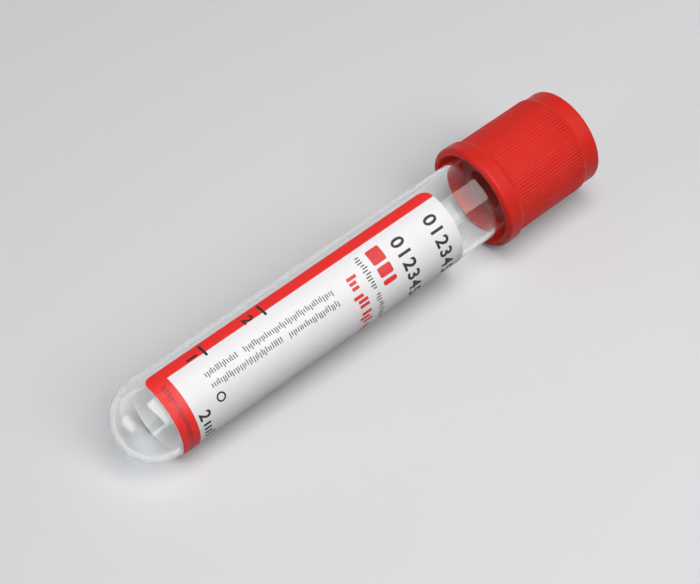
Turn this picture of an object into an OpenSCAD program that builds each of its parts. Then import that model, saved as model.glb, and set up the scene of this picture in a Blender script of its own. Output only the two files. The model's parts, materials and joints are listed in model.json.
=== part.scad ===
// Blood collection tube: a round-bottomed clear tube with a paper label, closed by a rubber
// stopper that sits in a ribbed plastic cap. The tube lies at rest on its label's lower edge
// and on the rim of the cap, so its axis climbs a little towards the cap.
// Millimetres, +Z up. The axis runs along +X, and the origin is under the middle of the box.
// Each piece is drawn upright, round local Z from the round bottom, and is then laid down.

/* [Tube] */
// Outer diameter of the tube
tube_d = 13; // [12.5:0.1:13.5]
// Thickness of the tube's wall
tube_wall = 1; // [0.8:0.05:1.2]
// Length of the tube from its round bottom to its mouth
tube_length = 75; // [70:1:100]
// Radius that rounds the inner and outer edges of the mouth
mouth_round = 0.3; // [0.1:0.05:0.35]

/* [Label] */
// Length of the label along the tube
label_length = 52.8; // [30:0.1:56]
// Width of the clear window that the label leaves between its long edges
window_width = 8.8; // [6:0.1:20]
// Thickness of the paper
label_thickness = 0.1; // [0.06:0.01:0.15]
// Height of the label's lower edge above the end of the round bottom
label_lift = 0.1; // [0.1:0.1:5]
// Angle of the label's long edge behind the top of the lying tube
label_edge_angle = 13.7; // [0:0.1:60]
// Radius of the label's corners
label_corner_r = 1.5; // [0.5:0.1:3]

/* [Cap] */
// Height of the cap from its rim to its flat top
cap_height = 19.7; // [18:0.1:22]
// Length of the skirt that hangs below the tube's mouth
skirt_overlap = 8; // [5:0.1:9]
// Thickness of the skirt's wall at its flared rim, before its bore is opened out
rim_wall = 1.6; // [1.4:0.05:2]
// How far the skirt's bore opens out between the top of the flare and the rim
mouth_flare = 0.5; // [0.2:0.05:0.6]
// Thickness of the flare's wall where it meets the ribbed grip
flare_wall = 1.55; // [1.3:0.05:1.8]
// Height of the smooth flare above the rim
flare_height = 3; // [2:0.1:4]
// Length over which the flare runs into the ribbed grip
flare_blend = 1; // [0.6:0.1:1.6]
// Thickness of the grip's wall at the flare, without its ribs
grip_wall_low = 1.06; // [1:0.02:1.2]
// Thickness of the grip's wall at its upper end, without its ribs
grip_wall_high = 1; // [0.95:0.01:1.1]
// Thickness of the wall in the smooth band at the top
band_wall = 0.82; // [0.76:0.02:1]
// Height of the smooth band between the ribs and the top
top_band_height = 3.1; // [2:0.1:4]
// Length over which the grip runs into the smooth band
band_blend = 0.6; // [0.3:0.1:1]
// Radius that rounds the cap's top edge
top_round = 0.65; // [0.4:0.05:1]
// Radius that rounds the rim's outer edge
rim_round = 0.75; // [0.4:0.05:1]
// Radius that rounds the rim's inner edge
lip_round = 0.3; // [0.1:0.05:0.4]
// How far the cap is turned on the tube, in degrees
cap_turn = -3.2; // [-4:0.1:4]
// Thickness of the cap's top plate
top_plate = 1.3; // [1:0.1:2]

/* [Ribs] */
// Number of fine ribs round the grip
rib_count = 96; // [72:2:108]
// Height of a rib above the grip's wall
rib_height = 0.06; // [0.04:0.01:0.2]
// Width of a rib where it leaves the wall
rib_width = 0.36; // [0.24:0.02:0.4]

/* [Needle well] */
// Inner diameter of the well in the cap's top
well_d = 9.3; // [8:0.1:10]
// Thickness of the collar round the well
collar_wall = 1; // [0.8:0.1:1.2]
// Radius that rounds the mouth of the well
well_round = 0.5; // [0.2:0.1:0.7]

/* [Stopper] */
// Thickness of the flange that seats on the tube's mouth
flange_height = 2.8; // [2:0.1:4]
// Length of the plug in the tube's bore
plug_length = 5.8; // [4:0.1:8]
// Height of the stem above the flange, inside the collar
stem_height = 2.6; // [1.5:0.1:4]
// Number of sealing rings round the plug
seal_count = 3; // [2:1:4]
// Depth of the plug's waists between its sealing rings
seal_depth = 0.25; // [0.1:0.05:0.4]
// Diameter of the hollow under the plug
hollow_d = 6.4; // [4:0.1:7]
// Depth of the hollow under the plug
hollow_depth = 3.2; // [2:0.1:5]
// Diameter of the dished pad that a needle pierces
dish_d = 6.6; // [4:0.1:7.5]
// Depth of the dish
dish_depth = 0.9; // [0.4:0.1:1.5]

/* [Fits] */
// Radial running clearance of the stopper in the tube and in the cap
running_clearance = 0.05; // [0.02:0.01:0.1]
// End clearance between the stopper, the tube's mouth and the cap
seat_clearance = 0.03; // [0.02:0.01:0.05]
// Radial gap between the tube and the cap's skirt
skirt_clearance = 0.5; // [0.4:0.05:0.6]
// Height of the bead inside the skirt that keeps the stopper in the cap
bead_height = 0.25; // [0.15:0.05:0.3]

/* [Hidden] */
$fn = 128;
overcut = 1;
// A round cut this much larger crosses the edges it blends instead of only touching them
crossing = 1.01;

// Tube and label
tube_r = tube_d / 2;
bore_r = tube_r - tube_wall;
label_r = tube_r + label_thickness;
label_z = tube_r + label_lift;
label_sweep = 360 - window_width / tube_r * 180 / PI;

// Cap, from its rim up
rim_z = tube_length - skirt_overlap;
flare_z = rim_z + flare_height;
top_z = rim_z + cap_height;
band_z = top_z - top_band_height;
top_under_z = top_z - top_plate;
skirt_r = tube_r + skirt_clearance;
rim_r = skirt_r + rim_wall;
mouth_r = skirt_r + mouth_flare;
// The rounds of the rim's outer and inner edges share what is left of its wall
edge_round = min(rim_round, rim_wall - mouth_flare - lip_round);
flare_r = skirt_r + flare_wall;
grip_r_low = skirt_r + grip_wall_low;
grip_r_high = skirt_r + grip_wall_high;
band_r = skirt_r + band_wall;
well_r = well_d / 2;
collar_r = well_r + collar_wall;

// Stopper, from its plug up
flange_r = skirt_r - running_clearance;
flange_z = tube_length + seat_clearance;
flange_top_z = flange_z + flange_height;
collar_z = flange_top_z + seat_clearance;
plug_r = bore_r - running_clearance;
plug_z = tube_length - plug_length;
stem_r = well_r - running_clearance;
stem_z = flange_top_z + stem_height;
seal_pitch = plug_length / seal_count;

// The grip runs between its two blends, and its wall leans in towards the top
grip_z = flare_z - flare_blend / 2;
grip_top_z = band_z - band_blend / 2;
grip_draft = atan2(grip_r_low - grip_r_high, grip_top_z - grip_z);

// The lying pose: a line under the label's lower edge that also touches the rim's round
rim_run = rim_z + edge_round - label_z;
rim_rise = rim_r - edge_round - label_r;
lie_angle = atan2(rim_rise, rim_run) + asin(edge_round / norm([rim_run, rim_rise]));
lie_height = label_r * cos(lie_angle) - label_z * sin(lie_angle);
low_x = tube_r * cos(lie_angle) - tube_r;
high_x = (top_z - top_round) * cos(lie_angle)
    + (band_r - top_round) * sin(lie_angle) + top_round;

// Lays an upright piece down along +X, with local -X turned up.
module lay_down()
    translate([-(low_x + high_x) / 2, 0, lie_height])
    rotate([0, 90 - lie_angle, 0])
    children();

// Points on an arc in the section plane, from angle a to angle b about centre c.
function arc(c, r, a, b, steps = 6) =
    [for (i = [0:steps]) c + r * [cos(a + (b - a) * i / steps), sin(a + (b - a) * i / steps)]];

// Outline of a round-ended rod in the section plane, with its end at height z.
module rod_outline(r, z, top) {
    intersection() {
        translate([0, z + r]) circle(r);
        translate([0, z]) square(r);
    }
    translate([0, z + r]) square([r, top - z - r]);
}

module tube_section() {
    difference() {
        rod_outline(tube_r, 0, tube_length - mouth_round);
        rod_outline(bore_r, tube_wall, tube_length);
    }
    polygon(concat(
        [[bore_r, tube_length - mouth_round]],
        [[tube_r, tube_length - mouth_round]],
        arc([tube_r - mouth_round, tube_length - mouth_round], mouth_round, 0, 90),
        arc([bore_r + mouth_round, tube_length - mouth_round], mouth_round, 90, 180)));
}

// Clear tube with a hemispherical bottom and a rounded mouth.
module tube()
    color([0.86, 0.9, 0.92, 0.35])
    lay_down()
    rotate_extrude() tube_section();

// What is cut from one corner of the label, drawn for a corner at the origin whose paper
// lies towards +Y and +Z, seen along +X.
module corner_cut()
    rotate([90, 0, 90])
    linear_extrude(label_r + overcut)
    difference() {
        translate([-overcut, -overcut]) square(overcut + label_corner_r);
        translate([label_corner_r, label_corner_r]) circle(label_corner_r * crossing);
    }

// Paper label wrapped part of the way round the tube, with rounded corners.
module label()
    color("white")
    lay_down()
    rotate([0, 0, 180 - label_edge_angle])
    translate([0, 0, label_z])
    difference() {
        rotate_extrude(angle = label_sweep)
            translate([tube_r, 0]) square([label_thickness, label_length]);
        for (side = [0, 1], end = [0, 1])
            rotate([0, 0, side * label_sweep])
            translate([0, 0, end * label_length])
            mirror([0, side, 0])
            mirror([0, 0, end])
            corner_cut();
    }

// One waist between two sealing rings of the plug.
module plug_waist(z)
    polygon([
        [plug_r + overcut, z - overcut],
        [plug_r, z],
        [plug_r - seal_depth, z + seal_depth],
        [plug_r - seal_depth, z + seal_pitch / 2],
        [plug_r, z + seal_pitch / 2 + seal_depth],
        [plug_r + overcut, z + seal_pitch / 2 + seal_depth + overcut]]);

module stopper_section()
    difference() {
        polygon([
            [0, plug_z],
            [plug_r - seal_depth, plug_z],
            [plug_r, plug_z + seal_depth],
            [plug_r, flange_z],
            [flange_r, flange_z],
            [flange_r, flange_top_z],
            [stem_r, flange_top_z],
            [stem_r, stem_z],
            [0, stem_z]]);
        for (i = [1:seal_count - 1]) plug_waist(plug_z + i * seal_pitch - seal_pitch / 4);
        polygon([
            [0, plug_z - overcut],
            [hollow_d / 2, plug_z - overcut],
            [hollow_d / 2, plug_z],
            [hollow_d / 3, plug_z + hollow_depth],
            [0, plug_z + hollow_depth]]);
        dish_outline();
    }

// The dish is a shallow bowl of the sphere that passes through its edge and its bottom.
module dish_outline() {
    bowl_r = (pow(dish_d / 2, 2) + pow(dish_depth, 2)) / (2 * dish_depth);
    intersection() {
        translate([0, stem_z - dish_depth + bowl_r]) circle(bowl_r);
        translate([0, stem_z - dish_depth]) square([dish_d / 2, dish_depth + overcut]);
    }
}

// Rubber stopper: ringed plug, flange on the tube's mouth and dished stem in the collar.
module stopper()
    color("firebrick")
    lay_down()
    rotate_extrude() stopper_section();

// Points on a soft step in the section plane, from radius a down to radius b.
function soft_step(a, b, z, length, steps = 8) =
    [for (i = [0:steps]) [b + (a - b) * (1 + cos(180 * i / steps)) / 2, z + length * i / steps]];

module cap_section()
    polygon(concat(
        [[skirt_r, flare_z]],
        arc([mouth_r + lip_round, rim_z + lip_round], lip_round, 180, 270),
        arc([rim_r - edge_round, rim_z + edge_round], edge_round, 270, 360, 8),
        soft_step(flare_r, grip_r_low, grip_z, flare_blend),
        soft_step(grip_r_high, band_r, grip_top_z, band_blend, 6),
        arc([band_r - top_round, top_z - top_round], top_round, 0, 90),
        arc([well_r + well_round, top_z - well_round], well_round, 90, 180),
        [[well_r, collar_z]],
        [[collar_r, collar_z]],
        [[collar_r, top_under_z]],
        [[skirt_r, top_under_z]],
        [[skirt_r, tube_length]],
        [[skirt_r - bead_height, tube_length - bead_height]],
        [[skirt_r - bead_height, tube_length - 2 * bead_height]],
        [[skirt_r, tube_length - 4 * bead_height]]));

// One rib: a low ridge that lies on the drafted wall of the grip, along local +X's side, and
// comes out of the flare's soft step.
module rib()
    translate([grip_r_low, 0, grip_z])
    rotate([0, -grip_draft, 0])
    linear_extrude((grip_top_z - grip_z) / cos(grip_draft))
    polygon([
        [-2 * rib_height, rib_width / 2],
        [0, rib_width / 2],
        [rib_height, rib_width / 6],
        [rib_height, -rib_width / 6],
        [0, -rib_width / 2],
        [-2 * rib_height, -rib_width / 2]]);

// Plastic cap: flared skirt, fine-ribbed grip, smooth top band and a collared needle well.
module cap()
    color("red")
    lay_down()
    rotate([0, 0, cap_turn])
    union() {
        rotate_extrude() cap_section();
        for (i = [0:rib_count - 1]) rotate([0, 0, i * 360 / rib_count]) rib();
    }

tube();
label();
stopper();
cap();
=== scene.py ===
"""Looks of a capped blood collection tube that lies on a pale table.

The glass, the printed paper label and the finishes of the rubber stopper and the ribbed cap are
made here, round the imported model. Lengths in the classes are millimetres along and round the
tube; a place on the tube is its height z above the round bottom, its angle from the upper side
towards the viewer, and its radius. Meshes and the studio are in metres, in the row's frame.
"""

from __future__ import annotations

import json
import logging
import math
import random
from dataclasses import dataclass, field, replace
from enum import Enum
from typing import Iterable, Sequence

import bmesh
import bpy
from mathutils import Matrix, Vector


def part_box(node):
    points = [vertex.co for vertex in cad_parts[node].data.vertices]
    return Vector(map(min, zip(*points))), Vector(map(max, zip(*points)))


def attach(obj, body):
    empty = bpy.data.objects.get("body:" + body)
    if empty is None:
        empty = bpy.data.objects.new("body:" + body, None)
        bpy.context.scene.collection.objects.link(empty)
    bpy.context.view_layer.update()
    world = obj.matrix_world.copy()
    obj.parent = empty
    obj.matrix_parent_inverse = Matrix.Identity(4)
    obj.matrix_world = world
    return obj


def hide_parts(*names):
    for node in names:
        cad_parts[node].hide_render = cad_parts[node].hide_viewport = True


MM = 0.001

# A linear colour with its alpha, two numbers that belong together, and a line of places
Colour = tuple[float, float, float, float]
Pair = tuple[float, float]
Outline = list[Pair]
Socket = bpy.types.NodeSocket
Material = bpy.types.Material
Piece = bpy.types.Object

log = logging.getLogger("blood_tube")
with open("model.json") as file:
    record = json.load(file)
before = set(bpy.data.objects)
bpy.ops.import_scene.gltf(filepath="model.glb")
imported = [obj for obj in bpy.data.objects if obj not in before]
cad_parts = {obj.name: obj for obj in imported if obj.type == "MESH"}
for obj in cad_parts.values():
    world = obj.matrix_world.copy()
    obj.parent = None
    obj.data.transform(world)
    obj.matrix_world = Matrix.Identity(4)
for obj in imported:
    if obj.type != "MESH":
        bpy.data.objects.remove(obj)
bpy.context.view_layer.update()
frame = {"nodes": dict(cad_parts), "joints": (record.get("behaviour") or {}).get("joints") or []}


# ---- Places on the tube ----


@dataclass(frozen=True)
class TubeAxis:
    """Where the lying tube is: its round bottom, its axis and the two directions across it."""

    pole: Vector
    along: Vector
    up: Vector
    side: Vector
    radius: float

    @classmethod
    def from_frame(cls, joints: Sequence[dict]) -> "TubeAxis":
        """Reads the axis from the closure's twist and the radius from the glass's box.

        Args:
            joints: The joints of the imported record.

        Returns:
            The axis of the tube as packed.
        """
        twist = next(joint for joint in joints if joint["name"] == "closure_twist")
        along = Vector(twist["axis"]).normalized()
        low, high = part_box("tube")
        radius = (high.y - low.y) / 2
        on_axis = Vector(twist["pos_m"])
        to_centre = (low.x + radius - on_axis.x) / along.x
        centre = on_axis + along * to_centre
        side = Vector((0.0, -1.0, 0.0))
        return cls(centre - along * radius, along, side.cross(along), side, radius / MM)

    def at(self, z: float, angle: float, r: float) -> Vector:
        """Gives the point at height z, an angle in radians from the upper side, and radius r."""
        across = self.up * math.cos(angle) + self.side * math.sin(angle)
        return self.pole + (self.along * z + across * r) * MM


def srgb(red: float, green: float, blue: float) -> Colour:
    """Turns a colour on the 0 to 255 display scale into the linear colour that shaders take.

    Args:
        red: Red on the display scale.
        green: Green on the display scale.
        blue: Blue on the display scale.

    Returns:
        The linear colour with an alpha of 1.
    """

    def linear(value: float) -> float:
        """Gives the linear share of one display value."""
        share = value / 255
        return share / 12.92 if share <= 0.04045 else ((share + 0.055) / 1.055) ** 2.4

    return linear(red), linear(green), linear(blue), 1.0


DARK: Colour = (0.0, 0.0, 0.0, 1.0)


# ---- Node graphs ----


class Graph:
    """A node tree with short calls for adding and joining nodes."""

    def __init__(self, tree: bpy.types.NodeTree) -> None:
        """Starts from an empty tree."""
        self.tree = tree
        tree.nodes.clear()

    def add(self, kind: str, values: dict | None = None, **settings: object) -> bpy.types.Node:
        """Adds a node, with its settings and the values or links of its inputs.

        Args:
            kind: The node's type name without its ShaderNode prefix, or in full.
            values: Input name or index to a value or to an output socket.
            **settings: Properties of the node.

        Returns:
            The new node.
        """
        full = kind if kind.startswith("NodeGroup") else "ShaderNode" + kind
        node = self.tree.nodes.new(full)
        for name, value in settings.items():
            setattr(node, name, value)
        for name, value in (values or {}).items():
            self.feed(node.inputs[name], value)
        return node

    def feed(self, socket: Socket, value: object) -> None:
        """Links an output to a socket, or sets the socket's own value.

        Args:
            socket: The input to feed.
            value: An output socket, or a plain value.
        """
        if isinstance(value, Socket):
            self.tree.links.new(value, socket)
        else:
            socket.default_value = value

    def maths(self, operation: str, *values: object) -> Socket:
        """Adds a Math node and gives its output."""
        node = self.add("Math", dict(enumerate(values)), operation=operation)
        return node.outputs[0]

    def blend(self, factor: object, a: object, b: object) -> Socket:
        """Mixes two colours and gives the mixed colour."""
        node = self.add("Mix", {0: factor, 6: a, 7: b}, data_type="RGBA")
        return node.outputs[2]

    def spread(self, value: object, low: float, high: float) -> Socket:
        """Maps 0 to 1 onto low to high."""
        node = self.add("MapRange", {"Value": value, "To Min": low, "To Max": high})
        return node.outputs["Result"]

    def soft_step(self, value: object, low: float, high: float) -> Socket:
        """Gives 0 below low and 1 above high, with a smooth rise between them."""
        limits = {"Value": value, "From Min": low, "From Max": high}
        return self.add("MapRange", limits, interpolation_type="SMOOTHSTEP").outputs["Result"]


GRAIN_MOTTLE = 0.12
"""The mottle's scale, as a share of the grain's."""

GRAIN_SMUDGE = 0.035
"""The smudges' scale, as a share of the grain's."""

SMUDGE_EDGES = (0.38, 0.68)
"""The heights of the noise between which a smudge begins and is whole."""


class Group(Enum):
    """The node groups that several materials share."""

    GRAIN = "surface_grain"
    FIELD = "printed_field"


def group_tree(
    group: Group, inputs: dict[str, float], outputs: Sequence[str]
) -> bpy.types.NodeTree:
    """Makes a shader node group whose named inputs and outputs are numbers.

    Args:
        group: Which group it is.
        inputs: Input name to its default value.
        outputs: The outputs' names.

    Returns:
        The new group's tree, without nodes.
    """
    number = "NodeSocketFloat"
    tree = bpy.data.node_groups.new(group.value, "ShaderNodeTree")
    for name, default in inputs.items():
        socket = tree.interface.new_socket(name, in_out="INPUT", socket_type=number)
        socket.default_value = default
    for name in outputs:
        tree.interface.new_socket(name, in_out="OUTPUT", socket_type=number)
    return tree


def build_grain_group() -> bpy.types.NodeTree:
    """Builds the fine unevenness that every finish has: a height, a mottle and a smudge mask.

    Returns:
        A group with a scale per metre, a stretch along the tube, and three 0 to 1 outputs.
    """
    tree = group_tree(
        Group.GRAIN, {"Scale": 4000.0, "Stretch": 1.0}, ("Height", "Mottle", "Smudge")
    )
    graph = Graph(tree)
    given = graph.add("NodeGroupInput").outputs
    place = graph.add("TexCoord").outputs["Object"]
    parts = graph.add("SeparateXYZ", {0: place}).outputs
    along = graph.maths("DIVIDE", parts["X"], given["Stretch"])
    drawn = graph.add("CombineXYZ", {"X": along, "Y": parts["Y"], "Z": parts["Z"]}).outputs[0]

    def noise(vector: Socket, share: float, **values: object) -> Socket:
        """Adds noise at a share of the group's scale, and gives its height."""
        values["Scale"] = graph.maths("MULTIPLY", given["Scale"], share)
        return graph.add("TexNoise", {"Vector": vector, **values}).outputs["Fac"]

    smudge = noise(place, GRAIN_SMUDGE, Detail=4.0)
    low, high = SMUDGE_EDGES
    graph.add(
        "NodeGroupOutput",
        {
            "Height": noise(drawn, 1.0, Detail=3.0, Roughness=0.55),
            "Mottle": noise(drawn, GRAIN_MOTTLE, Detail=2.0),
            "Smudge": graph.soft_step(smudge, low, high),
        },
    )
    return tree


def build_field_group() -> bpy.types.NodeTree:
    """Builds a mask that is 1 inside a printed rectangle, with a slightly soft edge.

    Returns:
        A group that takes a place on the paper and the rectangle's sides, in millimetres.
    """
    ways = ("Round", "Along")
    sides = {f"{way}{end}": 0.0 for end in ("", " From", " To") for way in ways}
    tree = group_tree(Group.FIELD, {**sides, "Soft Edge": 0.04}, ("Mask",))
    graph = Graph(tree)
    given = graph.add("NodeGroupInput").outputs

    def inside(way: str) -> Socket:
        """Gives 1 between the two sides that cross one way.

        Args:
            way: The way, as the group's inputs name it.

        Returns:
            The mask, which is half at each side.
        """
        start, end = given[way + " From"], given[way + " To"]
        half = graph.maths("MULTIPLY", graph.maths("SUBTRACT", end, start), 0.5)
        middle = graph.maths("ADD", start, half)
        away = graph.maths("ABSOLUTE", graph.maths("SUBTRACT", given[way], middle))
        depth = graph.maths("SUBTRACT", half, away)
        steep = graph.maths("DIVIDE", depth, given["Soft Edge"])
        return graph.add("Math", {0: steep, 1: 0.5}, operation="ADD", use_clamp=True).outputs[0]

    mask = graph.maths("MULTIPLY", *(inside(way) for way in ways))
    graph.add("NodeGroupOutput", {"Mask": mask})
    return tree


@dataclass(frozen=True)
class Grain:
    """How the shared unevenness is set in one material: a scale per metre, a depth in metres."""

    scale: float = 4000.0
    stretch: float = 1.0
    bump: float = 0.1
    depth: float = 0.00002

    def place(self, graph: Graph) -> tuple[bpy.types.Node, Socket]:
        """Places the group in a material.

        Args:
            graph: The material's graph.

        Returns:
            The group's node and the normal that its height bends.
        """
        node = graph.add("Group", node_tree=bpy.data.node_groups[Group.GRAIN.value])
        graph.feed(node.inputs["Scale"], self.scale)
        graph.feed(node.inputs["Stretch"], self.stretch)
        bump = graph.add(
            "Bump",
            {"Strength": self.bump, "Distance": self.depth, "Height": node.outputs["Height"]},
        )
        return node, bump.outputs["Normal"]


class Finish:
    """A material with its graph and its one Principled shader."""

    def __init__(self, name: str, grain: Grain) -> None:
        """Makes the material and places the shared unevenness in it.

        Args:
            name: The material's name.
            grain: How the unevenness is set.
        """
        self.material = bpy.data.materials.new(name)
        self.material.use_nodes = True
        self.graph = Graph(self.material.node_tree)
        self.grain, normal = grain.place(self.graph)
        self.shader = self.graph.add("BsdfPrincipled", {"Normal": normal})
        self.output = self.graph.add("OutputMaterial", {"Surface": self.shader.outputs[0]})

    def set(self, **values: object) -> None:
        """Sets or links the shader's inputs, named with underscores for spaces."""
        for name, value in values.items():
            self.graph.feed(self.shader.inputs[name.replace("_", " ")], value)

    def polish(self, limits: Pair) -> None:
        """Lets the roughness wander between two limits with the smudge mask."""
        self.set(Roughness=self.graph.spread(self.grain.outputs["Smudge"], *limits))

    def mottle(self, limits: Pair, plain: Colour, other: Colour) -> None:
        """Blends two base colours by the mottle, mapped onto two limits."""
        factor = self.graph.spread(self.grain.outputs["Mottle"], *limits)
        self.set(Base_Color=self.graph.blend(factor, plain, other))


# ---- Finishes ----


@dataclass(frozen=True)
class ClearGlass:
    """Clear drawn glass: faint draw lines, and a touch of smudging in its polish.

    Lamps light what is behind it, less so past its edges. A path of light that is more than
    trapped_after steps deep, and has met nothing matt, gains a faint painted glow of grey at each
    surface, which stands in for the pale room's light.
    """

    grain: Grain = Grain(scale=500.0, stretch=12.0, bump=0.003)
    polish: Pair = (0.0, 0.015)
    tint: Colour = (0.985, 0.992, 0.99, 1.0)
    ior: float = 1.5
    shadow_facing: Colour = (0.93, 0.94, 0.94, 1.0)
    shadow_edge: Colour = (0.42, 0.44, 0.45, 1.0)
    shadow_reach: float = 0.35
    # The grey of the painted glow that the glass gives off on deep paths
    trapped_glow: Colour = (0.075, 0.078, 0.077, 1.0)
    trapped_after: float = 4.0

    def build(self) -> Material:
        """Makes the glass.

        Returns:
            The material.
        """
        finish = Finish("clear_glass", self.grain)
        finish.set(Base_Color=self.tint, IOR=self.ior, Transmission_Weight=1.0)
        finish.polish(self.polish)
        graph = finish.graph
        path = graph.add("LightPath").outputs
        # Painted glow: deep paths that have met nothing matt are given a faint grey emission, in
        # place of the room's light
        deep = graph.maths("GREATER_THAN", path["Ray Depth"], self.trapped_after)
        straight = graph.maths("LESS_THAN", path["Diffuse Depth"], 1.0)
        trapped_glow = graph.maths("MULTIPLY", deep, straight)
        lit = graph.blend(trapped_glow, DARK, self.trapped_glow)
        finish.set(Emission_Color=lit, Emission_Strength=1.0)
        edge = graph.add("LayerWeight", {"Blend": self.shadow_reach}).outputs["Facing"]
        passed = graph.blend(edge, self.shadow_facing, self.shadow_edge)
        clear = graph.add("BsdfTransparent", {"Color": passed})
        shaders = {0: path["Is Shadow Ray"], 1: finish.shader.outputs[0], 2: clear.outputs[0]}
        mixed = graph.add("MixShader", shaders)
        graph.feed(finish.output.inputs["Surface"], mixed.outputs[0])
        return finish.material


@dataclass(frozen=True)
class CapPlastic:
    """Red polyolefin with a satin skin: light goes a little way in and glows at thin edges."""

    grain: Grain = Grain(scale=7000.0, bump=0.12, depth=0.00001)
    polish: Pair = (0.34, 0.44)
    mottle: Pair = (0.0, 0.5)
    colour: Colour = srgb(216, 38, 28)
    worn: Colour = srgb(221, 48, 38)
    ior: float = 1.49
    gloss: float = 0.2
    glow: float = 0.05
    glow_reach: tuple[float, float, float] = (1.0, 0.12, 0.08)

    def build(self) -> Material:
        """Makes the cap's plastic.

        Returns:
            The material.
        """
        finish = Finish("cap_plastic", self.grain)
        finish.mottle(self.mottle, self.colour, self.worn)
        finish.polish(self.polish)
        finish.set(
            IOR=self.ior,
            Specular_IOR_Level=self.gloss,
            Subsurface_Weight=self.glow,
            Subsurface_Radius=self.glow_reach,
            Subsurface_Scale=MM,
        )
        return finish.material


@dataclass(frozen=True)
class StopperRubber:
    """Matt dark red butyl rubber with a fine dusted skin."""

    grain: Grain = Grain(scale=9000.0, bump=0.3)
    polish: Pair = (0.62, 0.78)
    colour: Colour = srgb(120, 20, 18)
    dusted: Colour = srgb(142, 38, 33)

    def build(self) -> Material:
        """Makes the stopper's rubber.

        Returns:
            The material.
        """
        finish = Finish("stopper_rubber", self.grain)
        dust = finish.grain.outputs["Smudge"]
        finish.set(Base_Color=finish.graph.blend(dust, self.colour, self.dusted))
        finish.polish(self.polish)
        return finish.material


PAPER_GRAIN = Grain(scale=11000.0, bump=0.14, depth=0.00001)
PAPER_IOR = 1.45


class Ink(Enum):
    """The inks that are printed on the label, each with its colour."""

    BLACK = srgb(24, 22, 24)
    GREY = srgb(82, 81, 85)
    RED = srgb(226, 40, 42)
    DEEP_RED = srgb(166, 26, 24)


@dataclass(frozen=True)
class InkFilm:
    """A thin film of ink, which follows the paper's fibres and bares a little of its white."""

    grain: Grain = PAPER_GRAIN
    polish: Pair = (0.4, 0.5)
    mottle: Pair = (-0.2, 0.7)
    ior: float = PAPER_IOR
    bared: float = 0.06
    paper_white: float = 0.8

    def build(self, ink: Ink) -> Material:
        """Makes the film of one ink.

        Args:
            ink: The ink.

        Returns:
            The material.
        """
        finish = Finish(ink.name.lower() + "_ink", self.grain)
        white = self.bared * self.paper_white
        thin = tuple((1 - self.bared) * share + white for share in ink.value[:3])
        finish.mottle(self.mottle, ink.value, (*thin, 1.0))
        finish.polish(self.polish)
        finish.set(IOR=self.ior)
        return finish.material


@dataclass(frozen=True)
class LabelPaper:
    """Coated white paper with a red stripe along one long edge and a red band at one end."""

    width: float
    length: float
    grain: Grain = PAPER_GRAIN
    polish: Pair = (0.42, 0.52)
    ior: float = PAPER_IOR
    stripe: float = 2.03
    band: float = 3.03
    bleed: float = 1.0
    soft_edge: float = 0.04
    white: Colour = srgb(246, 244, 245)
    shade: Colour = srgb(239, 237, 239)
    red: Colour = srgb(242, 46, 42)

    def build(self) -> Material:
        """Makes the paper with its two fields of red.

        Returns:
            The material.
        """
        finish = Finish("label_paper", self.grain)
        graph = finish.graph
        place = graph.add("UVMap", uv_map=Label.PRINT_MAP).outputs[0]
        parts = graph.add("SeparateXYZ", {0: place}).outputs
        around = graph.maths("MULTIPLY", parts["X"], self.width)
        along = graph.maths("MULTIPLY", parts["Y"], self.length)
        stripe = self.field(graph, around, along, (self.stripe, self.length + self.bleed))
        band = self.field(graph, around, along, (self.width + self.bleed, self.band))
        red = graph.maths("MAXIMUM", stripe, band)
        paper = graph.blend(finish.grain.outputs["Mottle"], self.white, self.shade)
        finish.set(Base_Color=graph.blend(red, paper, self.red), IOR=self.ior)
        finish.polish(self.polish)
        return finish.material

    def field(self, graph: Graph, around: Socket, along: Socket, end: Pair) -> Socket:
        """Places one printed rectangle, which starts past the paper's first corner.

        Args:
            graph: The paper's graph.
            around: Place round the tube, in millimetres from the long edge.
            along: Place along the tube, in millimetres from the lower end.
            end: The rectangle's far sides, round the tube and along it.

        Returns:
            Its mask.
        """
        node = graph.add("Group", node_tree=bpy.data.node_groups[Group.FIELD.value])
        values = {
            "Round": around,
            "Round From": -self.bleed,
            "Round To": end[0],
            "Along": along,
            "Along From": -self.bleed,
            "Along To": end[1],
            "Soft Edge": self.soft_edge,
        }
        for name, value in values.items():
            graph.feed(node.inputs[name], value)
        return node.outputs["Mask"]


# ---- Glass and paper ----


SHARP_EDGE = math.radians(35)
"""The angle between two faces from which their edge is shown sharp."""

SAME_POINT = 1e-5
"""Points that are no further apart than this, in millimetres, are one."""

CORNER_STEPS = 4
"""The chords of one rounded corner of a printed block."""


def make_piece(
    name: str, bm: bmesh.types.BMesh, material: Material, body: str
) -> Piece:
    """Turns a closed bmesh into a smooth-shaded piece that rides on a body.

    Args:
        name: The piece's name.
        bm: The mesh, in the row's frame; it is freed.
        material: The piece's material.
        body: The body that it moves with.

    Returns:
        The new object.
    """
    bmesh.ops.recalc_face_normals(bm, faces=bm.faces)
    mesh = bpy.data.meshes.new(name)
    bm.to_mesh(mesh)
    bm.free()
    mesh.shade_smooth()
    mesh.set_sharp_from_angle(angle=SHARP_EDGE)
    mesh.materials.append(material)
    piece = bpy.data.objects.new(name, mesh)
    bpy.context.scene.collection.objects.link(piece)
    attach(piece, body)
    log.info("%s: %d faces", name, len(mesh.polygons))
    return piece


def arc(centre: Pair, r: float, start: float, end: float, steps: int) -> Outline:
    """Gives points on an arc in a plane, with angles in degrees, both ends included.

    Args:
        centre: The arc's centre.
        r: Its radius.
        start: The angle of its first point.
        end: The angle of its last point.
        steps: How many chords it has.

    Returns:
        The points, one more than there are chords.
    """
    turns = [math.radians(start + (end - start) * i / steps) for i in range(steps + 1)]
    return [(centre[0] + r * math.cos(t), centre[1] + r * math.sin(t)) for t in turns]


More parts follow.
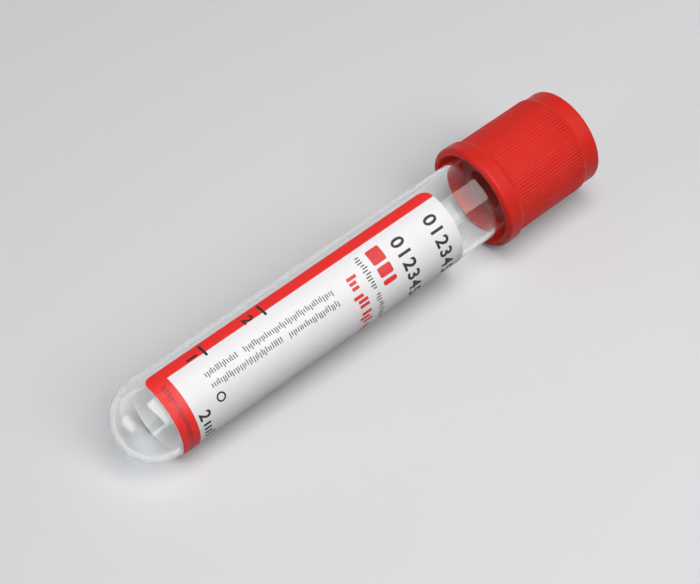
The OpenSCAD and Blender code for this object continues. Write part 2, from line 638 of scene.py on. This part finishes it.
@dataclass(frozen=True)
class TubeGlass:
    """The clear tube: a straight wall, a round bottom and a rounded mouth."""

    axis: TubeAxis
    wall: float = 1.0
    length: float = 75.0
    mouth_round: float = 0.3
    segments: int = 192
    bottom_rings: int = 28
    mouth_rings: int = 5

    def profile(self) -> Outline:
        """Gives the wall's section, from the outer pole to the inner one.

        Returns:
            The section, as (radius, height).
        """
        outer = self.axis.radius
        bore = outer - self.wall
        lip = self.length - self.mouth_round
        return (
            arc((0.0, outer), outer, -90, 0, self.bottom_rings)
            + arc((outer - self.mouth_round, lip), self.mouth_round, 0, 90, self.mouth_rings)
            + arc((bore + self.mouth_round, lip), self.mouth_round, 90, 180, self.mouth_rings)
            + arc((0.0, outer), bore, 0, -90, self.bottom_rings)
        )

    def build(self, material: Material) -> Piece:
        """Turns the section round the axis.

        Args:
            material: The glass.

        Returns:
            The tube, which stands for the CAD tube.
        """
        bm = bmesh.new()
        rings: list[list[bmesh.types.BMVert]] = []
        for r, z in self.profile():
            count = 1 if r < SAME_POINT else self.segments
            turns = (math.tau * i / self.segments for i in range(count))
            rings.append([bm.verts.new(self.axis.at(z, turn, r)) for turn in turns])
        for low, high in zip(rings, rings[1:]):
            for i in range(self.segments):
                j = (i + 1) % self.segments
                lower = (low[i % len(low)], low[j % len(low)])
                upper = (high[j % len(high)], high[i % len(high)])
                bm.faces.new(dict.fromkeys(lower + upper))
        tube = make_piece("tube_glass", bm, material, "tube")
        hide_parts("tube")
        return tube


@dataclass(frozen=True)
class Label:
    """The paper label: a thin sheet with rounded corners, wrapped round the tube."""

    PRINT_MAP = "print"
    # A place on the print's map outside both fields of red, for the back and the cut edge
    UNPRINTED = (0.5, 2.0)

    axis: TubeAxis
    bottom: float = 6.6
    length: float = 52.8
    window: float = 8.8
    thickness: float = 0.1
    glue_gap: float = 0.004
    edge_angle: float = math.radians(13.7)
    corner_r: float = 1.5
    corner_steps: int = 6
    columns: int = 150
    rows: int = 44

    @property
    def outer_r(self) -> float:
        """The radius of the printed side."""
        return self.axis.radius + self.thickness

    @property
    def sweep(self) -> float:
        """The angle that the paper goes round the tube."""
        return math.tau - self.window / self.axis.radius

    @property
    def width(self) -> float:
        """The printed side's width round the tube."""
        return self.sweep * self.outer_r

    def angle(self, around: float) -> float:
        """Gives the angle on the tube of a place round the printed side."""
        return around / self.outer_r - self.edge_angle

    def around(self, degrees: float) -> float:
        """Gives the place round the printed side of an angle on the tube, in degrees."""
        return (math.radians(degrees) + self.edge_angle) * self.outer_r

    def stations(self) -> list[float]:
        """Gives the places of the sheet's columns, closer together at the rounded corners.

        Returns:
            The places round the printed side.
        """
        turns = [math.radians(90 * i / self.corner_steps) for i in range(self.corner_steps)]
        corner = [self.corner_r * (1 - math.cos(turn)) for turn in turns]
        plain = self.width - 2 * self.corner_r
        middle = [self.corner_r + plain * i / self.columns for i in range(self.columns + 1)]
        return corner + middle + [self.width - s for s in reversed(corner)]

    def build(self, material: Material) -> Piece:
        """Makes the sheet as a closed thin solid, with its printed side mapped.

        Args:
            material: The printed paper.

        Returns:
            The label, which stands for the CAD label.
        """
        bm = bmesh.new()
        maps: dict[bmesh.types.BMVert, Pair] = {}
        sides = []
        for r in (self.axis.radius + self.glue_gap, self.outer_r):
            grid = []
            for s in self.stations():
                inset = max(0.0, self.corner_r - min(s, self.width - s))
                cut = self.corner_r - math.sqrt(self.corner_r**2 - inset**2)
                span = self.length - 2 * cut
                column = []
                for i in range(self.rows + 1):
                    z = cut + span * i / self.rows
                    vert = bm.verts.new(self.axis.at(self.bottom + z, self.angle(s), r))
                    maps[vert] = (s / self.width, z / self.length)
                    column.append(vert)
                grid.append(column)
            sides.append(grid)
        printed = self.skin(bm, sides)
        layer = bm.loops.layers.uv.new(self.PRINT_MAP)
        for face in bm.faces:
            for loop in face.loops:
                loop[layer].uv = maps[loop.vert] if face in printed else self.UNPRINTED
        label = make_piece("paper_label", bm, material, "tube")
        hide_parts("label")
        return label

    def skin(
        self, bm: bmesh.types.BMesh, sides: list[list[list[bmesh.types.BMVert]]]
    ) -> set[bmesh.types.BMFace]:
        """Fills the sheet's two sides and its cut edge.

        Args:
            bm: The mesh.
            sides: The inner and the outer grid of vertices, by column.

        Returns:
            The faces of the printed side.
        """
        columns, rows = len(sides[0]), len(sides[0][0])
        printed = set()
        for side, grid in enumerate(sides):
            for i in range(columns - 1):
                for j in range(rows - 1):
                    quad = (grid[i][j], grid[i + 1][j], grid[i + 1][j + 1], grid[i][j + 1])
                    face = bm.faces.new(quad)
                    if side:
                        printed.add(face)
        loop = (
            [(i, 0) for i in range(columns)]
            + [(columns - 1, j) for j in range(1, rows)]
            + [(i, rows - 1) for i in range(columns - 2, -1, -1)]
            + [(0, j) for j in range(rows - 2, 0, -1)]
        )
        inner, outer = sides
        for (i, j), (k, m) in zip(loop, loop[1:] + loop[:1]):
            bm.faces.new((inner[i][j], inner[k][m], outer[k][m], outer[i][j]))
        return printed


# ---- Print ----


def box_outline(round_from: float, round_to: float, low: float, high: float) -> Outline:
    """Gives a plain rectangle on the label, as (place round, height)."""
    return [(round_from, low), (round_to, low), (round_to, high), (round_from, high)]


def soft_box(middle: Pair, size: Pair, r: float) -> Outline:
    """Gives a rectangle with rounded corners.

    Args:
        middle: Its centre, as (place round, height).
        size: Its width round the tube and its height along it.
        r: Its corners' radius.

    Returns:
        The outline.
    """
    half_w, half_h = size[0] / 2 - r, size[1] / 2 - r
    corners = ((1, -1, -90), (1, 1, 0), (-1, 1, 90), (-1, -1, 180))
    points: Outline = []
    for right, top, start in corners:
        centre = (middle[0] + right * half_w, middle[1] + top * half_h)
        points += arc(centre, r, start, start + 90, CORNER_STEPS)
    return points


@dataclass
class Printer:
    """Lays shapes on the label as thin films of ink.

    A film stands proud of the paper by film and goes into it by sink. It is divided at every
    step round the label, so that it follows the curve.
    """

    label: Label
    film: float = 0.008
    sink: float = 0.002
    step: float = 0.3
    ring_steps: int = 32
    inks: dict[Ink, Material] = field(default_factory=dict)

    def ink(self, ink: Ink) -> Material:
        """Gives an ink's material, made at its first use.

        Args:
            ink: The ink.

        Returns:
            Its material.
        """
        if ink not in self.inks:
            self.inks[ink] = InkFilm().build(ink)
        return self.inks[ink]

    def lay(self, name: str, flat: bmesh.types.BMesh, ink: Ink) -> Piece:
        """Wraps flat shapes round the label and gives them a film's thickness.

        Args:
            name: The print's name.
            flat: Flat faces, with x as the place round and y as the height above the bottom.
            ink: What it is printed with.

        Returns:
            The print, which rides with the tube.
        """
        low = min(vert.co.x for vert in flat.verts)
        high = max(vert.co.x for vert in flat.verts)
        for i in range(math.ceil(low / self.step), math.floor(high / self.step) + 1):
            bmesh.ops.bisect_plane(
                flat,
                geom=flat.verts[:] + flat.edges[:] + flat.faces[:],
                plane_co=(i * self.step, 0, 0),
                plane_no=(1, 0, 0),
                dist=SAME_POINT,
            )
        raised = bmesh.ops.extrude_face_region(flat, geom=flat.faces[:], use_keep_orig=True)
        for item in raised["geom"]:
            if isinstance(item, bmesh.types.BMVert):
                item.co.z = self.film + self.sink
        for vert in flat.verts:
            s, z, height = vert.co
            r = self.label.outer_r - self.sink + height
            vert.co = self.label.axis.at(z, self.label.angle(s), r)
        return make_piece(name, flat, self.ink(ink), "tube")

    def shapes(self, name: str, outlines: Iterable[Outline], ink: Ink) -> Piece:
        """Prints filled outlines.

        Args:
            name: The print's name.
            outlines: The outlines, which don't overlap.
            ink: What they are printed with.

        Returns:
            The print.
        """
        flat = bmesh.new()
        for outline in outlines:
            flat.faces.new([flat.verts.new((s, z, 0.0)) for s, z in outline])
        return self.lay(name, flat, ink)

    def ring(self, name: str, middle: Pair, radii: Pair, ink: Ink) -> Piece:
        """Prints a plain ring.

        Args:
            name: The print's name.
            middle: The ring's centre, as (place round, height).
            radii: Its inner and outer radius.
            ink: What it is printed with.

        Returns:
            The print.
        """
        steps = self.ring_steps
        flat = bmesh.new()
        inner, outer = (
            [flat.verts.new((s, z, 0.0)) for s, z in arc(middle, r, 0, 360, steps)[:-1]]
            for r in radii
        )
        for i in range(steps):
            j = (i + 1) % steps
            flat.faces.new((inner[i], outer[i], outer[j], inner[j]))
        return self.lay(name, flat, ink)

    def digits(
        self, name: str, marks: Sequence[tuple[str, float, float]], height: float, ink: Ink
    ) -> Piece:
        """Prints plain digits, which read round the tube with their tops towards the cap.

        Args:
            name: The print's name.
            marks: Each digit with the place round of its middle and the height of its foot.
            height: How tall a digit is.
            ink: What they are printed with.

        Returns:
            The print.
        """
        flat = bmesh.new()
        for digit, s, z in marks:
            mesh = digit_mesh(digit, height)
            mesh.transform(Matrix.Translation((s, z, 0.0)))
            flat.from_mesh(mesh)
            bpy.data.meshes.remove(mesh)
        bmesh.ops.remove_doubles(flat, verts=flat.verts, dist=SAME_POINT)
        return self.lay(name, flat, ink)


def digit_mesh(digit: str, height: float, weight: float = 0.026) -> bpy.types.Mesh:
    """Makes one flat digit of the built-in typeface.

    Args:
        digit: The digit.
        height: How tall it is.
        weight: How far its outline is moved out, as a share of the type's size.

    Returns:
        Its mesh, with its foot on y = 0 and its middle on x = 0.
    """
    curve = bpy.data.curves.new("digit", "FONT")
    curve.body = digit
    curve.resolution_u = 4
    curve.offset = weight
    holder = bpy.data.objects.new("digit", curve)
    bpy.context.scene.collection.objects.link(holder)
    bpy.context.view_layer.update()
    drawn = holder.evaluated_get(bpy.context.evaluated_depsgraph_get())
    mesh = bpy.data.meshes.new_from_object(drawn)
    bpy.data.objects.remove(holder)
    bpy.data.curves.remove(curve)
    xs = [vert.co.x for vert in mesh.vertices]
    ys = [vert.co.y for vert in mesh.vertices]
    scale = height / (max(ys) - min(ys))
    middle = (min(xs) + max(xs)) / 2
    mesh.transform(Matrix.Scale(scale, 4) @ Matrix.Translation((-middle, -min(ys), 0.0)))
    return mesh


class Run(Enum):
    """Which way a printed line runs."""

    ROUND = "round the tube"
    ALONG = "along the tube"


class BarReach(Enum):
    """How far a bar of small print reaches, as shares of the line's height from its foot."""

    LOW = (0.22, 0.78)
    TALL = (0.22, 1.0)
    DEEP = (0.0, 0.78)


@dataclass(frozen=True)
class FineText:
    """A line of small print, shown as groups of plain upright bars that spell nothing."""

    height: float
    pitch: float
    seed: int
    stroke: float = 0.17
    filled: float = 0.86
    bars: int = 3
    run: Run = Run.ROUND

    def cell(self, chance: random.Random) -> list[tuple[float, float, float, float]]:
        """Makes one group of upright bars side by side.

        Args:
            chance: The source of each bar's reach.

        Returns:
            Each bar's middle and size, along the line and across it.
        """
        step = (self.pitch * self.filled - self.stroke) / (self.bars - 1)
        blocks = []
        for i in range(self.bars):
            low, high = chance.choice(list(BarReach)).value
            middle = (low + high - 1) / 2 * self.height
            place = step * (i - (self.bars - 1) / 2)
            blocks.append((place, middle, self.stroke, (high - low) * self.height))
        return blocks

    def line(self, middles: Sequence[Pair]) -> list[Outline]:
        """Makes the outlines of a whole line.

        Args:
            middles: The centre of each group, as (place round, height).

        Returns:
            The outlines.
        """
        chance = random.Random(self.seed)
        outlines = []
        for middle in middles:
            for shift, across, long, thick in self.cell(chance):
                if self.run is Run.ALONG:
                    s, z, wide, tall = middle[0] - across, middle[1] + shift, thick, long
                else:
                    s, z, wide, tall = middle[0] + shift, middle[1] + across, long, thick
                outlines.append(box_outline(s - wide / 2, s + wide / 2, z - tall / 2, z + tall / 2))
        return outlines


@dataclass(frozen=True)
class Spots:
    """An even row of places on the label: the first one, and the way from each to the next.

    Angles are in degrees on the tube, heights in millimetres. The place numbered gap is left out.
    """

    angle: float
    height: float
    count: int
    turn: float = 0.0
    climb: float = 0.0
    gap: int | None = None

    def on(self, label: Label) -> list[Pair]:
        """Finds the places on a label.

        Args:
            label: The label.

        Returns:
            Each place, as (place round, height).
        """
        return [
            (label.around(self.angle + self.turn * i), self.height + self.climb * i)
            for i in range(self.count)
            if i != self.gap
        ]


@dataclass(frozen=True)
class PrintedLine:
    """One line of small print: its name, how it is set, where its groups are, and its ink."""

    name: str
    text: FineText
    spots: Spots
    ink: Ink = Ink.GREY


LONG_LINE = FineText(height=1.15, pitch=1.15, seed=1, run=Run.ALONG)
SHORT_LINE = FineText(height=1.15, pitch=1.3, seed=3, stroke=0.21)
RED_LINE = FineText(height=2.2, pitch=2.6, seed=23, stroke=0.53, filled=0.82)
BAND_LINE = FineText(height=1.05, pitch=1.3, seed=11, stroke=0.23, filled=0.82)


@dataclass(frozen=True)
class LabelPrint:
    """Everything printed on the label apart from its two fields of red."""

    printer: Printer
    tick_heights: Pair = (16.3, 27.0)
    tick_angles: Pair = (-10.2, 9.2)
    tick_width: float = 0.42
    scale_numbers: tuple[tuple[str, float, float], ...] = (("1", 0.3, 13.4), ("2", -0.4, 23.55))
    scale_number_height: float = 1.8
    row_digits: str = "0123456789"
    row_height: float = 2.3
    digit_rows: tuple[Spots, ...] = (
        Spots(28.2, 49.9, 10, turn=16.3),
        Spots(28.2, 56.25, 10, turn=16.3),
    )
    small_lines: tuple[PrintedLine, ...] = (
        PrintedLine(
            "small_print_1",
            LONG_LINE,
            Spots(29.4, 14.6, 20, turn=0.23, climb=1.15, gap=5),
        ),
        PrintedLine(
            "small_print_2",
            replace(LONG_LINE, seed=2),
            Spots(44.8, 14.6, 20, turn=0.23, climb=1.15, gap=11),
        ),
        PrintedLine("small_print_3", SHORT_LINE, Spots(19.6, 43.2, 4, turn=12.3)),
        PrintedLine("small_print_4", SHORT_LINE, Spots(74.3, 43.3, 4, turn=13.4)),
    )
    ring_place: Spots = Spots(62.3, 14.5, 1)
    ring_radii: Pair = (0.5, 0.76)
    volume_place: Spots = Spots(71.2, 10.2, 1)
    volume_height: float = 1.95
    volume_bars: Spots = Spots(84.0, 10.45, 4, turn=7.4)
    volume_bar_heights: tuple[float, ...] = (1.25, 1.25, 1.25, 1.85)
    volume_bar_width: float = 0.4
    volume_bar_round: float = 0.08
    block_place: Spots = Spots(15.5, 45.9, 1)
    block_widths: tuple[float, ...] = (2.5, 1.6, 0.8)
    block_height: float = 2.45
    block_gap: float = 0.5
    block_round: float = 0.3
    red_line: PrintedLine = PrintedLine(
        "red_line", RED_LINE, Spots(39.6, 40.38, 5, turn=25.9), Ink.RED
    )
    band_marks: PrintedLine = PrintedLine(
        "band_marks", BAND_LINE, Spots(14.9, 8.2, 14, turn=11.35), Ink.DEEP_RED
    )

    def build(self) -> None:
        """Prints the scale, the rows of digits, the small print and the plain shapes."""
        self.print_scale()
        self.print_digit_rows()
        for line in self.small_lines:
            self.print_line(line)
        self.print_volume()
        self.print_blocks()
        self.print_line(self.red_line)
        self.print_line(self.band_marks)

    def print_scale(self) -> None:
        """Prints the filling scale's two ticks and their plain numbers."""
        around = self.printer.label.around
        start, end = (around(angle) for angle in self.tick_angles)
        half = self.tick_width / 2
        ticks = [box_outline(start, end, z - half, z + half) for z in self.tick_heights]
        self.printer.shapes("scale_ticks", ticks, Ink.BLACK)
        marks = [(digit, around(angle), foot) for digit, angle, foot in self.scale_numbers]
        self.printer.digits("scale_numbers", marks, self.scale_number_height, Ink.BLACK)

    def print_digit_rows(self) -> None:
        """Prints the two rows of plain digits that go round the label near the cap."""
        for number, row in enumerate(self.digit_rows, 1):
            marks = [
                (digit, s, middle - self.row_height / 2)
                for digit, (s, middle) in zip(self.row_digits, row.on(self.printer.label))
            ]
            self.printer.digits(f"digit_row_{number}", marks, self.row_height, Ink.BLACK)

    def print_line(self, line: PrintedLine) -> None:
        """Prints one line of small print."""
        outlines = line.text.line(line.spots.on(self.printer.label))
        self.printer.shapes(line.name, outlines, line.ink)

    def print_volume(self) -> None:
        """Prints the plain ring, and the volume's number with the plain bars after it."""
        label = self.printer.label
        self.printer.ring("plain_ring", self.ring_place.on(label)[0], self.ring_radii, Ink.BLACK)
        s, foot = self.volume_place.on(label)[0]
        self.printer.digits("volume_number", [("2", s, foot)], self.volume_height, Ink.BLACK)
        width, r = self.volume_bar_width, self.volume_bar_round
        bars = [
            soft_box((s, foot + tall / 2), (width, tall), r)
            for (s, foot), tall in zip(self.volume_bars.on(label), self.volume_bar_heights)
        ]
        self.printer.shapes("volume_bars", bars, Ink.BLACK)

    def print_blocks(self) -> None:
        """Prints the three plain red blocks side by side."""
        place, middle = self.block_place.on(self.printer.label)[0]
        blocks = []
        for width in self.block_widths:
            size = (width, self.block_height)
            blocks.append(soft_box((place + width / 2, middle), size, self.block_round))
            place += width + self.block_gap
        self.printer.shapes("red_blocks", blocks, Ink.RED)


# ---- Closure ----


@dataclass(frozen=True)
class Closure:
    """The rubber stopper and the ribbed cap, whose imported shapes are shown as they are."""

    nodes: dict[str, Piece]

    def build(self) -> None:
        """Gives the stopper and the cap their finishes."""
        self.dress("stopper", StopperRubber().build())
        self.dress("cap", CapPlastic().build())

    def dress(self, node: str, material: Material) -> None:
        """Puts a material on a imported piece's slots.

        Args:
            node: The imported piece.
            material: Its finish.
        """
        piece = self.nodes[node]
        for slot in piece.material_slots:
            slot.material = material
        log.info("%s: dressed as %s", node, material.name)


# ---- Studio ----


def direction(azimuth: float, elevation: float) -> Vector:
    """Gives the unit vector towards a viewer or lamp.

    Args:
        azimuth: Degrees round from the front (-Y) towards +X.
        elevation: Degrees above the table.

    Returns:
        The direction from the object.
    """
    turn, rise = math.radians(azimuth), math.radians(elevation)
    flat = math.cos(rise)
    return Vector((math.sin(turn) * flat, -math.cos(turn) * flat, math.sin(rise)))


@dataclass(frozen=True)
class Softbox:
    """A rectangular lamp that faces the object, with angles in degrees and sizes in metres."""

    name: str
    azimuth: float
    elevation: float
    distance: float
    size: Pair
    watts: float

    def build(self) -> bpy.types.Object:
        """Hangs the lamp and turns it to the object.

        Returns:
            The lamp.
        """
        data = bpy.data.lights.new(self.name, "AREA")
        data.shape = "RECTANGLE"
        data.size, data.size_y = self.size
        data.energy = self.watts
        lamp = bpy.data.objects.new(self.name, data)
        away = direction(self.azimuth, self.elevation)
        lamp.location = away * self.distance
        lamp.rotation_euler = away.to_track_quat("Z", "Y").to_euler()
        bpy.context.scene.collection.objects.link(lamp)
        log.info("%s: %.1f W", self.name, self.watts)
        return lamp


@dataclass(frozen=True)
class Viewpoint:
    """The camera: where it looks from, what it looks at, its tilt and its lens.

    Angles are in degrees and places in metres, and the lens and its sensor in millimetres.
    """

    azimuth: float = -37.164
    elevation: float = 46.929
    distance: float = 0.328338
    target: tuple[float, float, float] = (-0.000708, 0.0, 0.005871)
    roll: float = -4.53
    lens: float = 114.38
    sensor: float = 36.0
    clip: Pair = (0.01, 20.0)

    def build(self) -> None:
        """Sets up the scene's camera."""
        data = bpy.data.cameras.new("camera")
        data.lens = self.lens
        data.sensor_width = self.sensor
        data.clip_start, data.clip_end = self.clip
        away = direction(self.azimuth, self.elevation)
        turn = math.radians(self.azimuth)
        level = Vector((math.cos(turn), math.sin(turn), 0.0))
        upright = away.cross(level)
        tilt = math.radians(self.roll)
        right = level * math.cos(tilt) + upright * math.sin(tilt)
        top = upright * math.cos(tilt) - level * math.sin(tilt)
        camera = bpy.data.objects.new("camera", data)
        pose = Matrix((right, top, away)).transposed().to_4x4()
        pose.translation = Vector(self.target) + away * self.distance
        camera.matrix_world = pose
        bpy.context.scene.collection.objects.link(camera)
        bpy.context.scene.camera = camera


def plain_rays(graph: Graph) -> Socket:
    """Gives 1 for what is seen directly, in a reflection or through glass, and 0 otherwise.

    Args:
        graph: A material's graph, or the world's.

    Returns:
        The mask.
    """
    path = graph.add("LightPath").outputs
    seen = graph.maths("MAXIMUM", path["Is Camera Ray"], path["Is Glossy Ray"])
    return graph.maths("MAXIMUM", seen, path["Is Transmission Ray"])


@dataclass(frozen=True)
class PaleRoom:
    """The room: pale, with a dimmer ceiling, where it is seen, and a low light elsewhere."""

    haze: Colour = srgb(250, 250, 252)
    level: float = 0.66
    ceiling: float = 0.26
    ambient: float = 0.04

    def build(self) -> None:
        """Sets the world's light."""
        world = bpy.data.worlds.new("room")
        bpy.context.scene.world = world
        world.use_nodes = True
        graph = Graph(world.node_tree)
        way = graph.add("TexCoord").outputs["Generated"]
        height = graph.add("SeparateXYZ", {0: way}).outputs["Z"]
        seen = graph.spread(height, self.level, self.ceiling)
        dim = graph.maths("SUBTRACT", 1.0, plain_rays(graph))
        lit = graph.maths("MULTIPLY", dim, graph.maths("SUBTRACT", self.ambient, seen))
        strength = graph.maths("ADD", seen, lit)
        light = graph.add("Background", {"Color": self.haze, "Strength": strength})
        graph.add("OutputWorld", {"Surface": light.outputs[0]})


@dataclass(frozen=True)
class TableTop:
    """A matt pale table top, which sends little light back up and fades into the room."""

    room: PaleRoom
    half_width: float = 3.0
    squares: int = 8
    grain: Grain = Grain(scale=2500.0, bump=0.02)
    polish: Pair = (0.6, 0.7)
    colour: Colour = srgb(226, 226, 228)
    bounce: float = 0.09
    fade: Pair = (0.14, 0.40)

    def build(self) -> None:
        """Lays the table top under the part."""
        bm = bmesh.new()
        squares = self.squares
        bmesh.ops.create_grid(bm, x_segments=squares, y_segments=squares, size=self.half_width)
        mesh = bpy.data.meshes.new("table")
        bm.to_mesh(mesh)
        bm.free()
        mesh.materials.append(self.finish())
        table = bpy.data.objects.new("table", mesh)
        bpy.context.scene.collection.objects.link(table)

    def finish(self) -> Material:
        """Makes the table's matt surface, whose far part is as bright as the room.

        Returns:
            The material.
        """
        finish = Finish("table_top", self.grain)
        graph = finish.graph
        seen = plain_rays(graph)
        place = graph.add("NewGeometry").outputs["Position"]
        away = graph.add("VectorMath", {0: place}, operation="LENGTH").outputs["Value"]
        faded = graph.soft_step(away, *self.fade)
        dim = tuple(share * self.bounce for share in self.colour[:3])
        near = graph.blend(seen, (*dim, 1.0), self.colour)
        glow = graph.maths("MULTIPLY", graph.maths("MULTIPLY", faded, seen), self.room.level)
        finish.set(
            Base_Color=graph.blend(faded, near, DARK),
            Emission_Color=self.room.haze,
            Emission_Strength=glow,
            Specular_IOR_Level=0.0,
        )
        finish.polish(self.polish)
        return finish.material


@dataclass(frozen=True)
class Studio:
    """A pale table in a pale room, soft light from large lamps, and a card for the glass."""

    room: PaleRoom = PaleRoom()
    lamps: tuple[Softbox, ...] = (
        Softbox("key_lamp", 12.0, 61.0, distance=0.60, size=(0.36, 0.80), watts=4.4),
        Softbox("end_lamp", -104.0, 12.0, distance=0.60, size=(0.36, 0.24), watts=0.9),
    )
    card: Softbox = Softbox(
        "glass_card", -113.0, 52.0, distance=0.60, size=(1.50, 1.10), watts=12.0
    )

    def build(self, glass: Piece) -> None:
        """Lays the table, sets the room's light and hangs the lamps and the card.

        Args:
            glass: The piece that the card shines back from.
        """
        TableTop(self.room).build()
        self.room.build()
        for lamp in self.lamps:
            lamp.build()
        self.hang_card(glass)

    def hang_card(self, glass: Piece) -> None:
        """Hangs the large card that only the glass mirrors, and that lights nothing else.

        Args:
            glass: The piece that mirrors it.
        """
        card = self.card.build()
        card.visible_camera = False
        card.visible_transmission = False
        mirrors = bpy.data.collections.new("mirrors_of_card")
        mirrors.objects.link(glass)
        card.light_linking.receiver_collection = mirrors


def main() -> None:
    """Builds the tube's pieces in order, then the studio."""
    logging.basicConfig(level=logging.INFO, format="%(name)s: %(message)s")
    build_grain_group()
    build_field_group()
    axis = TubeAxis.from_frame(frame["joints"])
    glass = TubeGlass(axis).build(ClearGlass().build())
    label = Label(axis)
    label.build(LabelPaper(label.width, label.length).build())
    LabelPrint(Printer(label)).build()
    Closure(frame["nodes"]).build()
    Studio().build(glass)
    Viewpoint().build()
    bpy.context.scene.view_settings.view_transform = "Standard"


if __name__ == "__main__":
    main()
